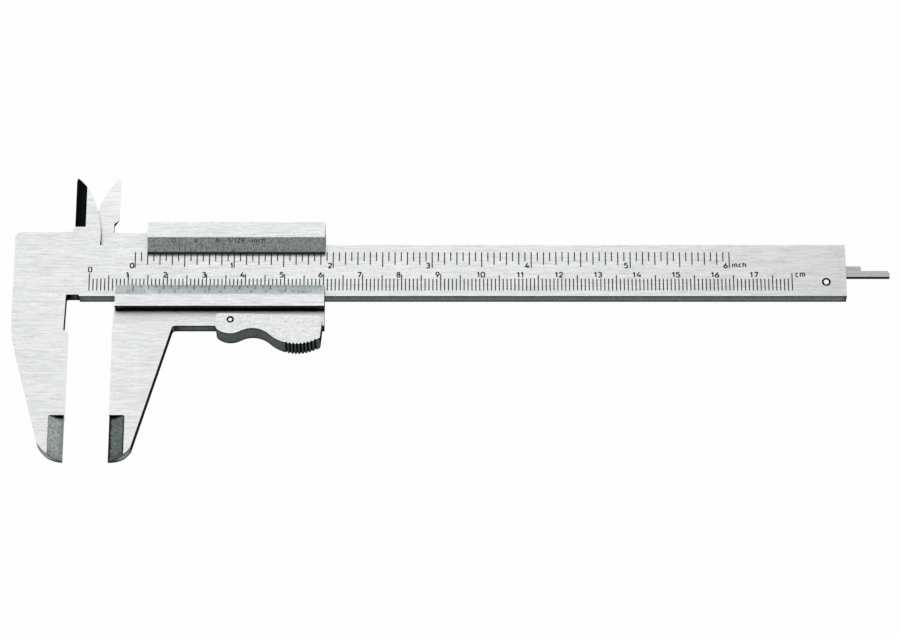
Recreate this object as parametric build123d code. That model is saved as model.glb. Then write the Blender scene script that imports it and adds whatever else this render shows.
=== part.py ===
from build123d import *

import math
import os

os.makedirs("parts", exist_ok=True)

# Pocket caliper with a one-piece slider, a thumb lever and a depth rod, in millimetres.
# The model is drawn from the fixed measuring face (X = 0), the beam's lower guide edge (Y = 0)
# and the middle of the beam's thickness (Z = 0). place() then moves every piece up so that the
# row's origin is the centre of the fixed measuring face. X runs along the beam, Y towards the
# inside jaws, Z out of the graduated side. The slider's own pieces are drawn with the jaws closed.

# Reading at which the caliper rests, and its measuring range
opening = 11.4
measuring_range = 140.0

# Beam
beam_height = 14.5
beam_thickness = 3.5
undercut_length = 2.6
undercut_depth = 0.45
undercut_radius = 0.3

# Head and fixed outside jaw
head_width = 14.4
head_rise = 3.7
head_corner_radius = 1.5
jaw_reach = 45.4
taper_start = 11.0
taper_blend_radius = 30.0
fixed_shoulder_width = 6.6
fixed_shoulder_height = 4.8
fixed_tip_radius = 8.9
relief_top_depth = 0.75
relief_bottom_depth = 1.05
relief_height = 9.7

# Thin ground noses at the tips of both outside jaws
nose_length = 12.2
nose_width = 3.95
nose_edge = 0.9
nose_corner_radius = 0.5

# Inside jaws: crossed knives, each half as thick as the beam
knife_offset = 0.75
knife_top = 34.5
knife_tip_width = 0.3
knife_tip_height = 0.85
knife_back_radius = 21.8
knife_shoulder_height = 22.6
knife_shoulder_width = 6.15
knife_root_bulge = 0.4
knife_root_width = 6.65
knife_land = 0.1
knife_foot_radius = 1.5
fixed_bevel_width = 2.88
fixed_bevel_start = 19.75
moving_bevel_width = 1.35
moving_knife_start = 22.45
moving_neck_inset = 1.35
moving_neck_slant = 1.05

# Slider
slider_length = 54.0
back_plate_thickness = 1.65
back_plate_length = 49.0
back_plate_inset = 0.6
front_rail_height = 3.1
guide_plate_drop = 8.36
lower_rail_start = 0.65
lower_rail_edge = 4.19
lower_bevel_start = 0.96
lower_lip_reach = 2.86
lower_lip_edge = 0.5
top_rail_start = 8.48
top_rail_rise = 5.04
top_bevel_start = 0.75
top_lip_reach = 2.53
top_lip_edge = 1.2
bridge_rise = 4.3

# Moving outside jaw
moving_root_width = 15.3
moving_shoulder_width = 5.65
moving_shoulder_height = 3.4
moving_tip_radius = 7.2
moving_root_radius = 0.9
moving_relief_depth = 0.45

# Depth rod, in a groove along the back of the beam
rod_width = 3.0
rod_thickness = 1.4
rod_edge_height = 6.5
rod_start = 2.6
tongue_length = 7.3
tongue_width = 1.65
tongue_chamfer = 0.6
rivet_radius = 0.75
rivet_head_radius = 1.2
rivet_head_depth = 0.5
rivet_first = 8.0
rivet_spacing = 28.0

# Guide plate on the back of the beam's far end, and its pin
end_plate_thickness = 0.9
end_plate_length = 9.9
end_plate_margin = 0.8
end_pin_setback = 5.15
end_pin_height = 4.0
end_pin_radius = 0.75
end_ring_radius = 1.15
ring_depth = 0.6

# Thumb lever: a channel that straddles the slider's lower plate
lever_start = 26.35
lever_end = 53.6
lever_end_lean = 0.65
lever_cheek = 1.3
lever_web = 1.2
lever_top_left = 5.4
lever_top_right = 6.15
lever_top_left_radius = 1.2
lever_top_right_radius = 1.2
lever_heel_radius = 1.6
belly_x = 30.05
belly_bottom = 11.1
belly_radius = 5.2
hollow_radius = 6.4
thumb_x = 47.1
thumb_bottom = 14.1
thumb_radius = 10.35
knurl_count = 9
knurl_first = -2.72
knurl_pitch = 0.924
knurl_width = 0.62
knurl_depth = 0.42
heel_gap = 0.25
end_wall_drop = 10.1

# Lever pivot, clamp plunger and return spring, all inside the slider's lower plate
pivot_x = 30.1
pivot_drop = 7.2
pivot_radius = 0.62
pivot_ring_radius = 0.95
pivot_lug_radius = 1.9
plunger_x = 27.5
plunger_radius = 1.15
spring_x = 43.6
spring_outer_radius = 1.15
spring_wire = 0.4
spring_turns = 3.5
spring_seat_depth = 3.4
lever_relief_width = 7.0
lever_relief_depth = 0.9

# Friction strip between beam and slider, and its two adjusting screws
strip_thickness = 0.8
strip_inset = 1.5
screw_radius = 1.0
screw_first = 8.5
screw_spacing = 27.0
screw_sink = 0.4
slot_width = 0.35
slot_depth = 0.5

# Graduations: engraved marks of V section. Beam and slider share both zeros when the jaws are closed.
inch = 25.4
mark_width = 0.2
mark_depth = 0.06
mark_overrun = 0.1
mm_zero = 5.07
mm_range = 180
mm_mark_foot = 1.5
mm_mark_head = 4.8
mm_five_head = 5.8
mm_ten_head = 6.3
two_digit_start = 100
inch_zero = 16.68
inch_range = 6
inch_parts = 16
inch_mark_drop = 2.05
sixteenth_drop = 4.6
eighth_drop = 5.64
half_inch_drop = 6.3
full_inch_drop = 6.64
mm_vernier_span = 39.0
mm_vernier_parts = 20
mm_vernier_odd = 1.3
mm_vernier_even = 2.2
mm_vernier_ten = 3.4
inch_vernier_span = 7 / 16 * inch
inch_vernier_parts = 8
inch_vernier_odd = 1.6
inch_vernier_even = 2.6
inch_vernier_four = 3.2

# Clearances
slide_gap = 0.05
groove_gap = 0.1
groove_end_gap = 0.6
knife_gap = 0.05
knife_side_gap = 0.35
turning_gap = 0.03
press_gap = 0.01
seat_gap = 0.1

# Derived levels
half_beam = beam_thickness / 2
channel_face = half_beam + slide_gap
back_face = -channel_face - back_plate_thickness
front_face = half_beam + front_rail_height
head_top = beam_height + head_rise
strip_bottom = beam_height + slide_gap
strip_top = strip_bottom + strip_thickness
channel_top = strip_top + slide_gap
rail_top = beam_height + top_rail_rise
bridge_top = beam_height + bridge_rise
rod_back = -channel_face
rod_front = rod_back + rod_thickness
rod_mid_height = rod_edge_height + rod_width / 2
lever_inner = half_beam + slide_gap
lever_outer = lever_inner + lever_cheek
moving_neck = knife_offset + moving_neck_inset
face_centre = (relief_height + jaw_reach) / 2
end_plate_start = measuring_range + back_plate_length + slide_gap
beam_end = end_plate_start + end_plate_length
overrun = 5.0
past = 1.0
through = (-half_beam - past, half_beam + past)


def place(shape, reading=0.0):
    """Move a shape to the row's origin, with the slider at the given reading."""
    return Pos(reading, face_centre, 0) * shape


def save(node, shape, reading=0.0):
    """Write one sub-part to its own file."""
    export_step(place(shape, reading), f"parts/{node}.step")


def slab(outline, low, high):
    """Extrude a closed outline of the XY plane between two heights."""
    return Pos(0, 0, low) * extrude(make_face(outline), high - low)


def along_x(points, start, end):
    """Extrude a section given as (Y, Z) points from start to end along X."""
    section = Plane.YZ * make_face(Polyline(*points, close=True))
    return Pos(start, 0, 0) * extrude(section, end - start)


def along_y(points, start, end):
    """Extrude a section given as (X, Z) points from start to end along Y."""
    section = Plane.XZ * make_face(Polyline(*points, close=True))
    return Pos(0, end, 0) * extrude(section, end - start)


def block(x_span, y_span, z_span):
    """Make a box from its spans along X, Y and Z."""
    spans = (x_span, y_span, z_span)
    sizes = [high - low for low, high in spans]
    centre = [(high + low) / 2 for low, high in spans]
    return Pos(*centre) * Box(*sizes)


def rod_along_y(radius, x, start, end):
    """Make a round bar along Y in the middle of the plate's thickness."""
    return Pos(x, (start + end) / 2, 0) * Rot(90, 0, 0) * Cylinder(radius, end - start)


def rod_along_z(radius, x, y, low, high):
    """Make a round bar along Z."""
    return Pos(x, y, (low + high) / 2) * Cylinder(radius, high - low)


def ring_sink(inner, outer, x, y, face, depth):
    """Make the conical sink around a pin's end, in a face that looks along +Z."""
    cone = Cone(inner, outer, depth)
    return Pos(x, y, face - depth / 2) * cone


def vertical_edges(shape, x, y):
    """Find the edges along Z that stand at a point."""
    found = shape.edges().filter_by(Axis.Z)
    return found.filter_by(lambda e: abs(e.center().X - x) < 1e-4 and abs(e.center().Y - y) < 1e-4)


# Outside jaws

def fixed_jaw():
    """The fixed outside jaw below the beam, with its relief and its tapered back."""
    shoulder = (-fixed_shoulder_width, fixed_shoulder_height - jaw_reach)
    corner = (-head_width, -taper_start)
    relief_top = (-relief_top_depth, 0)
    relief_bottom = (-relief_bottom_depth, -relief_height)
    sides = Polyline(
        shoulder, corner, (-head_width, past), (-relief_top_depth, past),
        relief_top, relief_bottom, (0, -relief_height), (0, -jaw_reach),
    )
    tip = RadiusArc(shoulder, (0, -jaw_reach), -fixed_tip_radius)
    jaw = slab(sides + tip, -half_beam, half_beam)
    return fillet(vertical_edges(jaw, *corner), taper_blend_radius)


def nose_cuts(side):
    """Wedges that thin a jaw's tip towards its measuring face; side is -1 fixed, 1 moving."""
    half_edge = nose_edge / 2
    slope = (half_beam - half_edge) / nose_width
    out = -side * past
    section = [
        (side * nose_width, half_beam),
        (out, half_edge - slope * past),
        (out, half_beam + overrun),
        (side * nose_width, half_beam + overrun),
    ]
    top = nose_length - jaw_reach
    wedge = along_y(section, -jaw_reach - past, top)
    wedge = fillet(vertical_edges(wedge, side * nose_width, top), nose_corner_radius)
    return wedge + mirror(wedge, Plane.XY)


# Inside jaws

def knife_outline(neck):
    """The crossed knife above the beam, back as two arcs, its neck given from the root to the edge."""
    tip = (knife_offset + knife_tip_width, knife_top)
    shoulder = (knife_offset + knife_shoulder_width, knife_shoulder_height)
    root = (knife_offset + knife_root_width, beam_height)
    bulge_x = (shoulder[0] + root[0]) / 2 + knife_root_bulge
    bulge = (bulge_x, (shoulder[1] + root[1]) / 2)
    back = RadiusArc(tip, shoulder, knife_back_radius)
    flank = ThreePointArc(shoulder, bulge, root)
    edge = Polyline(root, *neck, (knife_offset, knife_top - knife_tip_height), tip)
    return back + flank + edge


def bevel_cut(width, start):
    """The wedge that grinds a knife's front down to its measuring edge."""
    slope = (half_beam - knife_land) / width
    section = [
        (knife_offset - past, knife_land - slope * past),
        (knife_offset + width, half_beam),
        (knife_offset + width, half_beam + overrun),
        (knife_offset - past, half_beam + overrun),
    ]
    return along_y(section, start, knife_top + past)


def fixed_knife():
    """The front knife, which stands on the head and is bevelled on the graduated side."""
    inside = knife_offset - past
    neck = [(inside, beam_height), (inside, head_top), (knife_offset, head_top)]
    knife = slab(knife_outline(neck), 0, half_beam)
    foot = Polyline(
        (knife_offset - knife_foot_radius, head_top), (knife_offset, head_top),
        (knife_offset, head_top + knife_foot_radius),
    )
    foot += RadiusArc(
        (knife_offset - knife_foot_radius, head_top), (knife_offset, head_top + knife_foot_radius),
        -knife_foot_radius,
    )
    return knife + slab(foot, 0, half_beam) - bevel_cut(fixed_bevel_width, fixed_bevel_start)


def moving_knife():
    """The back knife, a mirror image of the front one on a narrower neck, bevelled on its hidden side."""
    neck_top = moving_knife_start - moving_neck_slant
    neck = [(moving_neck, beam_height), (moving_neck, neck_top), (knife_offset, moving_knife_start)]
    knife = slab(knife_outline(neck), 0, half_beam)
    wide = 2 * knife_root_width
    knife -= bevel_cut(moving_bevel_width, neck_top)
    knife -= block((-wide, wide), (0, beam_height + seat_gap), through)
    knife = mirror(mirror(knife, Plane.XY), Plane.YZ)
    return Pos(2 * knife_offset, 0, -knife_gap) * knife


# Beam

def rod_groove():
    """The groove for the depth rod, open at the beam's far end."""
    x_span = (rod_start - groove_end_gap, beam_end + past)
    y_span = (rod_edge_height - groove_gap, rod_edge_height + rod_width + groove_gap)
    return block(x_span, y_span, (-half_beam - past, rod_front + groove_gap))


def beam():
    """Beam, head, fixed outside jaw and fixed inside jaw, one forged and ground piece."""
    bar = block((-head_width, beam_end), (0, beam_height), (-half_beam, half_beam))
    head_end = knife_offset
    head = block((-head_width, head_end), (beam_height - past, head_top), (-half_beam, half_beam))
    head = fillet(vertical_edges(head, -head_width, head_top), head_corner_radius)
    body = bar + head + fixed_jaw()
    recess_left = 2 * knife_offset - (knife_offset + knife_root_width + knife_root_bulge) - knife_side_gap
    body -= block((recess_left, beam_end + past), (beam_height, head_top + past), (-half_beam - past, 0))
    body += fixed_knife()
    body -= nose_cuts(-1)
    undercut = block((-relief_top_depth, undercut_length), (-past, undercut_depth), through)
    undercut = fillet(undercut.edges().filter_by(Axis.Z).group_by(Axis.Y)[-1], undercut_radius)
    body -= undercut
    body -= rod_groove()
    pin_x = beam_end - end_pin_setback
    bore = end_pin_radius + press_gap
    body -= rod_along_z(bore, pin_x, end_pin_height, *through)
    body -= ring_sink(bore, end_ring_radius, pin_x, end_pin_height, half_beam, ring_depth)
    return body - [Pos(0, 0, half_beam) * shape for shape in mm_marks() + inch_marks()]


# Graduations

def mark(x, low, high):
    """One V-shaped mark along Y, to be cut out of a face at Z = 0."""
    spread = mark_width / 2 * (1 + mark_overrun / mark_depth)
    section = [(x - spread, mark_overrun), (x + spread, mark_overrun), (x, -mark_depth)]
    return along_y(section, low, high)


def by_rank(i, ranks, length):
    """The first length in ranks whose step divides i, or the common length."""
    for step, special in ranks:
        if i % step == 0:
            return special
    return length


def mm_marks():
    """The millimetre scale along the beam's lower edge; two-digit numerals stand above their marks."""
    ranks = [(10, mm_ten_head), (5, mm_five_head)]
    marks = []
    for i in range(mm_range + 1):
        under_numeral = two_digit_start <= i < mm_range and i % 10 == 0
        head = mm_mark_head if under_numeral else by_rank(i, ranks, mm_mark_head)
        marks.append(mark(mm_zero + i, mm_mark_foot, head))
    return marks


def inch_marks():
    """The inch scale along the beam's upper edge."""
    ranks = [(inch_parts, full_inch_drop), (inch_parts // 2, half_inch_drop), (2, eighth_drop)]
    head = beam_height - inch_mark_drop
    marks = []
    for i in range(inch_range * inch_parts + 1):
        foot = beam_height - by_rank(i, ranks, sixteenth_drop)
        marks.append(mark(inch_zero + i * inch / inch_parts, foot, head))
    return marks


def lower_bevel():
    """The lower rail's bevel as a plane, with X along the beam and the lip's edge at Y = 0."""
    lip = channel_face + lower_lip_edge
    normal = (0, front_face - lip, lower_lip_reach + lower_bevel_start)
    return Plane(origin=(0, lower_lip_reach, lip), x_dir=(1, 0, 0), z_dir=normal)


def top_bevel():
    """The top rail's bevel as a plane, with X along the beam and the lip's edge at Y = 0."""
    lip = channel_face + top_lip_edge
    normal = (0, lip - front_face, top_lip_reach + top_bevel_start)
    return Plane(origin=(0, beam_height - top_lip_reach, lip), x_dir=(1, 0, 0), z_dir=normal)


def mm_vernier_marks():
    """The vernier for twentieths of a millimetre, from the lip up the lower bevel."""
    ranks = [(mm_vernier_parts // 2, mm_vernier_ten), (2, mm_vernier_even)]
    step = mm_vernier_span / mm_vernier_parts
    marks = []
    for i in range(mm_vernier_parts + 1):
        marks.append(mark(mm_zero + i * step, -by_rank(i, ranks, mm_vernier_odd), mark_overrun))
    return [lower_bevel() * shape for shape in marks]


def inch_vernier_marks():
    """The vernier for 128ths of an inch, from the lip up the top bevel."""
    ranks = [(inch_vernier_parts // 2, inch_vernier_four), (2, inch_vernier_even)]
    step = inch_vernier_span / inch_vernier_parts
    marks = []
    for i in range(inch_vernier_parts + 1):
        marks.append(mark(inch_zero + i * step, -mark_overrun, by_rank(i, ranks, inch_vernier_odd)))
    return [top_bevel() * shape for shape in marks]


# Depth rod and its fastenings

def depth_rod():
    """Flat rod with a narrow tongue at its measuring end, riveted to the slider."""
    top = rod_edge_height + rod_width
    rod = block((rod_start, beam_end), (rod_edge_height, top), (rod_back, rod_front))
    tongue_top = rod_edge_height + tongue_width
    depth = (rod_back - past, rod_front + past)
    rod -= block((beam_end - tongue_length, beam_end + past), (tongue_top, top + past), depth)
    rod = chamfer(vertical_edges(rod, beam_end, tongue_top), tongue_chamfer)
    for x in rivet_places():
        rod -= rod_along_z(rivet_radius + press_gap, x, rod_mid_height, *depth)
    return rod


def rivet_places():
    """X of the rivets that hold the rod to the slider's back plate."""
    return [rivet_first, rivet_first + rivet_spacing]


def rivet_shape(x, gap):
    """A countersunk rivet through back plate and rod, flush on both sides."""
    shank = rod_along_z(rivet_radius + gap, x, rod_mid_height, back_face, rod_front)
    head = Cone(rivet_head_radius + gap, rivet_radius + gap, rivet_head_depth)
    return shank + Pos(x, rod_mid_height, back_face + rivet_head_depth / 2) * head


def rod_rivets():
    """The two rivets."""
    return Compound([rivet_shape(x, 0) for x in rivet_places()])


def rod_guide_plate():
    """Thin plate across the back of the beam's end that keeps the rod in its groove."""
    low = -half_beam - end_plate_thickness
    x_span = (end_plate_start, beam_end)
    plate = block(x_span, (end_plate_margin, beam_height - end_plate_margin), (low, -half_beam))
    plate = chamfer(plate.faces().sort_by(Axis.Z)[0].edges(), end_plate_thickness / 4)
    rod_span = (rod_edge_height - groove_gap, rod_edge_height + rod_width + groove_gap)
    plate -= block((x_span[0] - past, x_span[1] + past), rod_span, (rod_back - groove_gap, 0))
    pin_x = beam_end - end_pin_setback
    return plate - rod_along_z(end_pin_radius + press_gap, pin_x, end_pin_height, low - past, 0)


def end_pin():
    """Pin that fastens the guide plate, flush with both outer faces."""
    low = -half_beam - end_plate_thickness
    pin = rod_along_z(end_pin_radius, beam_end - end_pin_setback, end_pin_height, low, half_beam)
    return chamfer(pin.edges().group_by(Axis.Z)[-1], end_pin_radius / 8)


# Slider

def moving_jaw():
    """Moving outside jaw with the lower plate, as thick as the beam."""
    shoulder = (moving_shoulder_width, moving_shoulder_height - jaw_reach)
    root = (moving_root_width, -guide_plate_drop)
    sides = Polyline(
        shoulder, root, (slider_length, -guide_plate_drop), (slider_length, -slide_gap),
        (moving_relief_depth, -slide_gap), (0, -relief_height), (0, -jaw_reach),
    )
    tip = RadiusArc(shoulder, (0, -jaw_reach), moving_tip_radius)
    jaw = slab(sides + tip, -half_beam, half_beam)
    return fillet(vertical_edges(jaw, *root), moving_root_radius)


def lower_rail():
    """Front rail along the guide edge, with the bevel that carries the millimetre vernier."""
    section = [
        (-lower_rail_edge, 0), (-lower_rail_edge, front_face), (-lower_bevel_start, front_face),
        (lower_lip_reach, channel_face + lower_lip_edge), (lower_lip_reach, channel_face),
        (-slide_gap, channel_face), (-slide_gap, 0),
    ]
    return along_x(section, lower_rail_start, slider_length)


def top_rail():
    """Front rail along the top, its bevel and the wall that closes the channel."""
    bevel_edge = beam_height + top_bevel_start
    lip = beam_height - top_lip_reach
    section = [
        (channel_top, back_face), (rail_top, back_face), (rail_top, front_face),
        (bevel_edge, front_face), (lip, channel_face + top_lip_edge), (lip, channel_face),
        (channel_top, channel_face),
    ]
    return along_x(section, top_rail_start, slider_length)


def back_plate():
    """Plate behind the beam, with the bridge that carries the back knife."""
    x_span = (back_plate_inset, back_plate_length)
    plate = block(x_span, (-lower_rail_edge, bridge_top), (back_face, -channel_face))
    upper = block((top_rail_start, back_plate_length), (beam_height, rail_top), (back_face, -channel_face))
    lower = block(x_span, (-lower_rail_edge, -slide_gap), (-channel_face - past, 0))
    bridge_span = (2 * knife_offset - moving_neck - past, top_rail_start + past)
    bridge = block(bridge_span, (beam_height + seat_gap, bridge_top), (-channel_face, -knife_gap))
    return plate + upper + lower + bridge


def slider():
    """One-piece slider with both moving jaws, bored for plunger, spring, pivot and screws."""
    body = moving_jaw() - nose_cuts(1)
    body += lower_rail()
    body += top_rail()
    body += back_plate()
    body += moving_knife()
    lug = rod_along_z(pivot_lug_radius, pivot_x, -pivot_drop, -half_beam, half_beam)
    body += lug
    relief_x = hollow_centre()[0]
    relief_span = (relief_x - lever_relief_width / 2, relief_x + lever_relief_width / 2)
    relief_y = (-guide_plate_drop - past, -guide_plate_drop + lever_relief_depth)
    body -= block(relief_span, relief_y, through)
    body -= rod_along_z(pivot_radius + press_gap, pivot_x, -pivot_drop, *through)
    below = -guide_plate_drop - past
    body -= rod_along_y(plunger_radius + turning_gap, plunger_x, below, 0)
    body -= rod_along_y(spring_outer_radius + seat_gap, spring_x, below, -spring_seat_depth)
    for x in screw_places():
        body -= rod_along_y(screw_radius + press_gap, x, channel_top - seat_gap, rail_top + past)
    for x in rivet_places():
        body -= rivet_shape(x, press_gap)
    return body - (mm_vernier_marks() + inch_vernier_marks())


# Thumb lever

def belly_centre():
    """Centre of the lever's belly arc."""
    return (belly_x, belly_radius - belly_bottom)


def thumb_centre():
    """Centre of the arc under the knurled thumb rest."""
    return (thumb_x, thumb_radius - thumb_bottom)


def hollow_centre():
    """Centre of the arc that joins belly and thumb rest, tangent to both."""
    (x1, y1), (x2, y2) = belly_centre(), thumb_centre()
    r1 = belly_radius + hollow_radius
    r2 = thumb_radius + hollow_radius
    span = math.hypot(x2 - x1, y2 - y1)
    along = (r1 ** 2 - r2 ** 2 + span ** 2) / (2 * span)
    drop = math.sqrt(r1 ** 2 - along ** 2)
    ux, uy = (x2 - x1) / span, (y2 - y1) / span
    return (x1 + along * ux + drop * uy, y1 + along * uy - drop * ux)


def on_circle(centre, radius, x):
    """The lower point of a circle at a given X."""
    return (x, centre[1] - math.sqrt(radius ** 2 - (x - centre[0]) ** 2))


def between(a, b, distance):
    """The point at a distance from a, on the line towards b."""
    span = math.hypot(b[0] - a[0], b[1] - a[1])
    return (a[0] + (b[0] - a[0]) * distance / span, a[1] + (b[1] - a[1]) * distance / span)


def wave(inset, start, end):
    """The S-shaped underside of the lever, moved inwards by inset."""
    belly, hollow, thumb = belly_centre(), hollow_centre(), thumb_centre()
    r_belly, r_hollow, r_thumb = belly_radius - inset, hollow_radius + inset, thumb_radius - inset
    first = between(belly, hollow, r_belly)
    second = between(thumb, hollow, r_thumb)
    line = ThreePointArc(on_circle(belly, r_belly, start), (belly[0], belly[1] - r_belly), first)
    line += ThreePointArc(first, (hollow[0], hollow[1] + r_hollow), second)
    line += ThreePointArc(second, (thumb[0], thumb[1] - r_thumb), on_circle(thumb, r_thumb, end))
    return line


def lever_body():
    """The lever's outer form, before it is hollowed."""
    foot = lever_end - lever_end_lean
    top_left = (lever_start, -lever_top_left)
    top_right = (lever_end, -lever_top_right)
    heel = on_circle(belly_centre(), belly_radius, lever_start)
    toe = on_circle(thumb_centre(), thumb_radius, foot)
    outline = wave(0, lever_start, foot) + Polyline(toe, top_right, top_left, heel)
    body = slab(outline, -lever_outer, lever_outer)
    body = fillet(vertical_edges(body, *top_left), lever_top_left_radius)
    body = fillet(vertical_edges(body, *top_right), lever_top_right_radius)
    return fillet(vertical_edges(body, *heel), lever_heel_radius)


def lever_hollow():
    """The channel inside the lever, open at the top and at both ends above the web."""
    inner_end = lever_end - lever_end_lean - lever_web
    left, right, top = lever_start - past, lever_end + past, 0
    low_left = heel_corner()
    low_right = on_circle(thumb_centre(), thumb_radius - lever_web, inner_end)
    rim = Polyline(
        low_right, (inner_end, -end_wall_drop), (right, -end_wall_drop), (right, top),
        (left, top), (left, low_left[1]), low_left,
    )
    return slab(wave(lever_web, low_left[0], inner_end) + rim, -lever_inner, lever_inner)


def heel_corner():
    """Where the channel's flat heel, just below the slider's plate, meets its belly."""
    x, y = belly_centre()
    level = -guide_plate_drop - heel_gap
    return (x - math.sqrt((belly_radius - lever_web) ** 2 - (level - y) ** 2), level)


def thumb_lever():
    """Thumb lever with its knurled rest and the holes for the pivot."""
    lever = lever_body() - lever_hollow()
    half_width = knurl_width / 2 * (1 + past / knurl_depth)
    low = -thumb_radius - past
    corners = [(-half_width, low), (half_width, low), (0, knurl_depth - thumb_radius)]
    groove = slab(Polyline(*corners, close=True), -lever_outer - past, lever_outer + past)
    for i in range(knurl_count):
        angle = math.degrees(math.asin((knurl_first + i * knurl_pitch) / thumb_radius))
        lever -= Pos(*thumb_centre(), 0) * Rot(0, 0, angle) * groove
    bore = pivot_radius + turning_gap
    lever -= rod_along_z(bore, pivot_x, -pivot_drop, -lever_outer - past, lever_outer + past)
    sink = ring_sink(bore, pivot_ring_radius, pivot_x, -pivot_drop, lever_outer, ring_depth)
    return lever - sink - mirror(sink, Plane.XY)


def lever_pivot_pin():
    """Pin on which the lever turns."""
    pin = rod_along_z(pivot_radius, pivot_x, -pivot_drop, -lever_outer, lever_outer)
    return chamfer(pin.edges().filter_by(GeomType.CIRCLE), pivot_radius / 8)


def clamp_plunger():
    """Round plunger that the lever's heel presses against the beam's guide edge."""
    plunger = rod_along_y(plunger_radius, plunger_x, heel_corner()[1] + seat_gap, -slide_gap)
    return chamfer(plunger.edges().group_by(Axis.Y)[-1], plunger_radius / 6)


def lever_spring():
    """Coil spring of square wire that pushes the thumb rest away from the slider."""
    top = -spring_seat_depth
    web = on_circle(thumb_centre(), thumb_radius - lever_web, spring_x - spring_outer_radius)[1]
    height = top - web - 2 * seat_gap - spring_wire
    coil_radius = spring_outer_radius - spring_wire / 2
    path = Helix(height / spring_turns, height, coil_radius)
    section = Plane(path @ 0, x_dir=(1, 0, 0), z_dir=path % 0) * Rectangle(spring_wire, spring_wire)
    coil = sweep(section, path, is_frenet=True)
    return Pos(spring_x, top - seat_gap - spring_wire / 2, 0) * Rot(90, 0, 0) * coil


# Friction strip and adjusting screws

def screw_places():
    """X of the two adjusting screws."""
    return [top_rail_start + screw_first, top_rail_start + screw_first + screw_spacing]


def friction_strip():
    """Flat strip that takes up play along the beam's top edge."""
    x_span = (top_rail_start + strip_inset, slider_length - strip_inset)
    strip = block(x_span, (strip_bottom, strip_top), (-half_beam, half_beam))
    return chamfer(strip.edges().filter_by(Axis.X), strip_thickness / 5)


def adjusting_screw(x):
    """Slotted grub screw down to the strip."""
    top = rail_top - screw_sink
    screw = rod_along_y(screw_radius, x, strip_top, top)
    screw = chamfer(screw.edges().group_by(Axis.Y)[-1], screw_radius / 8)
    slot_x = (x - screw_radius - past, x + screw_radius + past)
    slot_z = (-slot_width / 2, slot_width / 2)
    return screw - block(slot_x, (top - slot_depth, top + past), slot_z)


def adjusting_screws():
    """The two adjusting screws."""
    return Compound([adjusting_screw(x) for x in screw_places()])


save("beam", beam())
save("rod_guide_plate", rod_guide_plate())
save("end_pin", end_pin())
save("slider", slider(), opening)
save("depth_rod", depth_rod(), opening)
save("rod_rivets", rod_rivets(), opening)
save("thumb_lever", thumb_lever(), opening)
save("lever_pivot_pin", lever_pivot_pin(), opening)
save("clamp_plunger", clamp_plunger(), opening)
save("lever_spring", lever_spring(), opening)
save("friction_strip", friction_strip(), opening)
save("adjusting_screws", adjusting_screws(), opening)
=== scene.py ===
import logging
import math
from dataclasses import dataclass
from enum import Enum
from typing import ClassVar, Optional, Union

import bmesh
import bpy
from mathutils import Matrix, Vector


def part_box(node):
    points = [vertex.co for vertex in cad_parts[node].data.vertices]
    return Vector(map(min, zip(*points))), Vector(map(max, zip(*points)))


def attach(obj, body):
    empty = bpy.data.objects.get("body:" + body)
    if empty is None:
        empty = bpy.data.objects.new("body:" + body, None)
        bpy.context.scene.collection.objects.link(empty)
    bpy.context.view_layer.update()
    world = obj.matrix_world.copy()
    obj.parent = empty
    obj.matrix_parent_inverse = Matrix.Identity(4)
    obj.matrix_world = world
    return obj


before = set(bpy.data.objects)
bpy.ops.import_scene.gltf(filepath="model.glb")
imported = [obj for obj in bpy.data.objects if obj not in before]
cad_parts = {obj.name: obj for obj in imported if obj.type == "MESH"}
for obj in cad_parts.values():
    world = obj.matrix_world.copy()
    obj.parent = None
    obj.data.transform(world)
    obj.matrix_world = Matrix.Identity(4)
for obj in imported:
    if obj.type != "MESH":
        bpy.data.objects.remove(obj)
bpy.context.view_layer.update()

# Looks of a pocket caliper. The pieces themselves come from the frame. This script gives every
# one of them its finish, fills the engraved graduations with dark paint, adds the numerals, and
# sets up the floor, the light and the camera. Places are in millimetres. X is measured from the
# fixed measuring face and Z from the middle of the beam's thickness. The scales and the studio
# measure Y from the beam's lower guide edge, and the finishes take the row's own Y.

MM = 0.001
TINY = 1e-6
FAR = 1000.0  # a limit that the caliper never reaches
LOG = logging.getLogger("caliper")
Colour = tuple[float, float, float]
Place = tuple[float, float, float]
Spot = tuple[float, float]


class Body(Enum):
    """The bodies that carry a scale."""

    BEAM = "beam"
    SLIDER = "slider"


class Align(Enum):
    """Where a numeral stands against its place along the scale."""

    LEFT = "left"
    CENTRE = "centre"


def bounds_mm(node: str) -> tuple[Vector, Vector]:
    """Give a node's lowest and highest corner in millimetres.

    Args:
        node: Name of a node of the frame.

    Returns:
        The two corners, in the row's frame.
    """
    low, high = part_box(node)
    return low / MM, high / MM


@dataclass(frozen=True)
class Datum:
    """The places that all scales are measured from, worked out from the frame."""

    beam_bottom: float
    face: float
    opening: float
    rest_level: float

    BEAM_HEIGHT: ClassVar[float] = 14.5
    SLIDE_GAP: ClassVar[float] = 0.05
    PIVOT_LEAD: ClassVar[float] = 30.1

    @classmethod
    def from_frame(cls) -> "Datum":
        """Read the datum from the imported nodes.

        Returns:
            The datum, in millimetres.
        """
        strip_low, _ = bounds_mm("friction_strip")
        _, pin_high = bounds_mm("end_pin")
        pivot_low, pivot_high = bounds_mm("lever_pivot_pin")
        slider_low, _ = bounds_mm("slider")
        return cls(
            beam_bottom=strip_low.y - cls.SLIDE_GAP - cls.BEAM_HEIGHT,
            face=pin_high.z,
            opening=(pivot_low.x + pivot_high.x) / 2 - cls.PIVOT_LEAD,
            rest_level=slider_low.z,
        )


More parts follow.
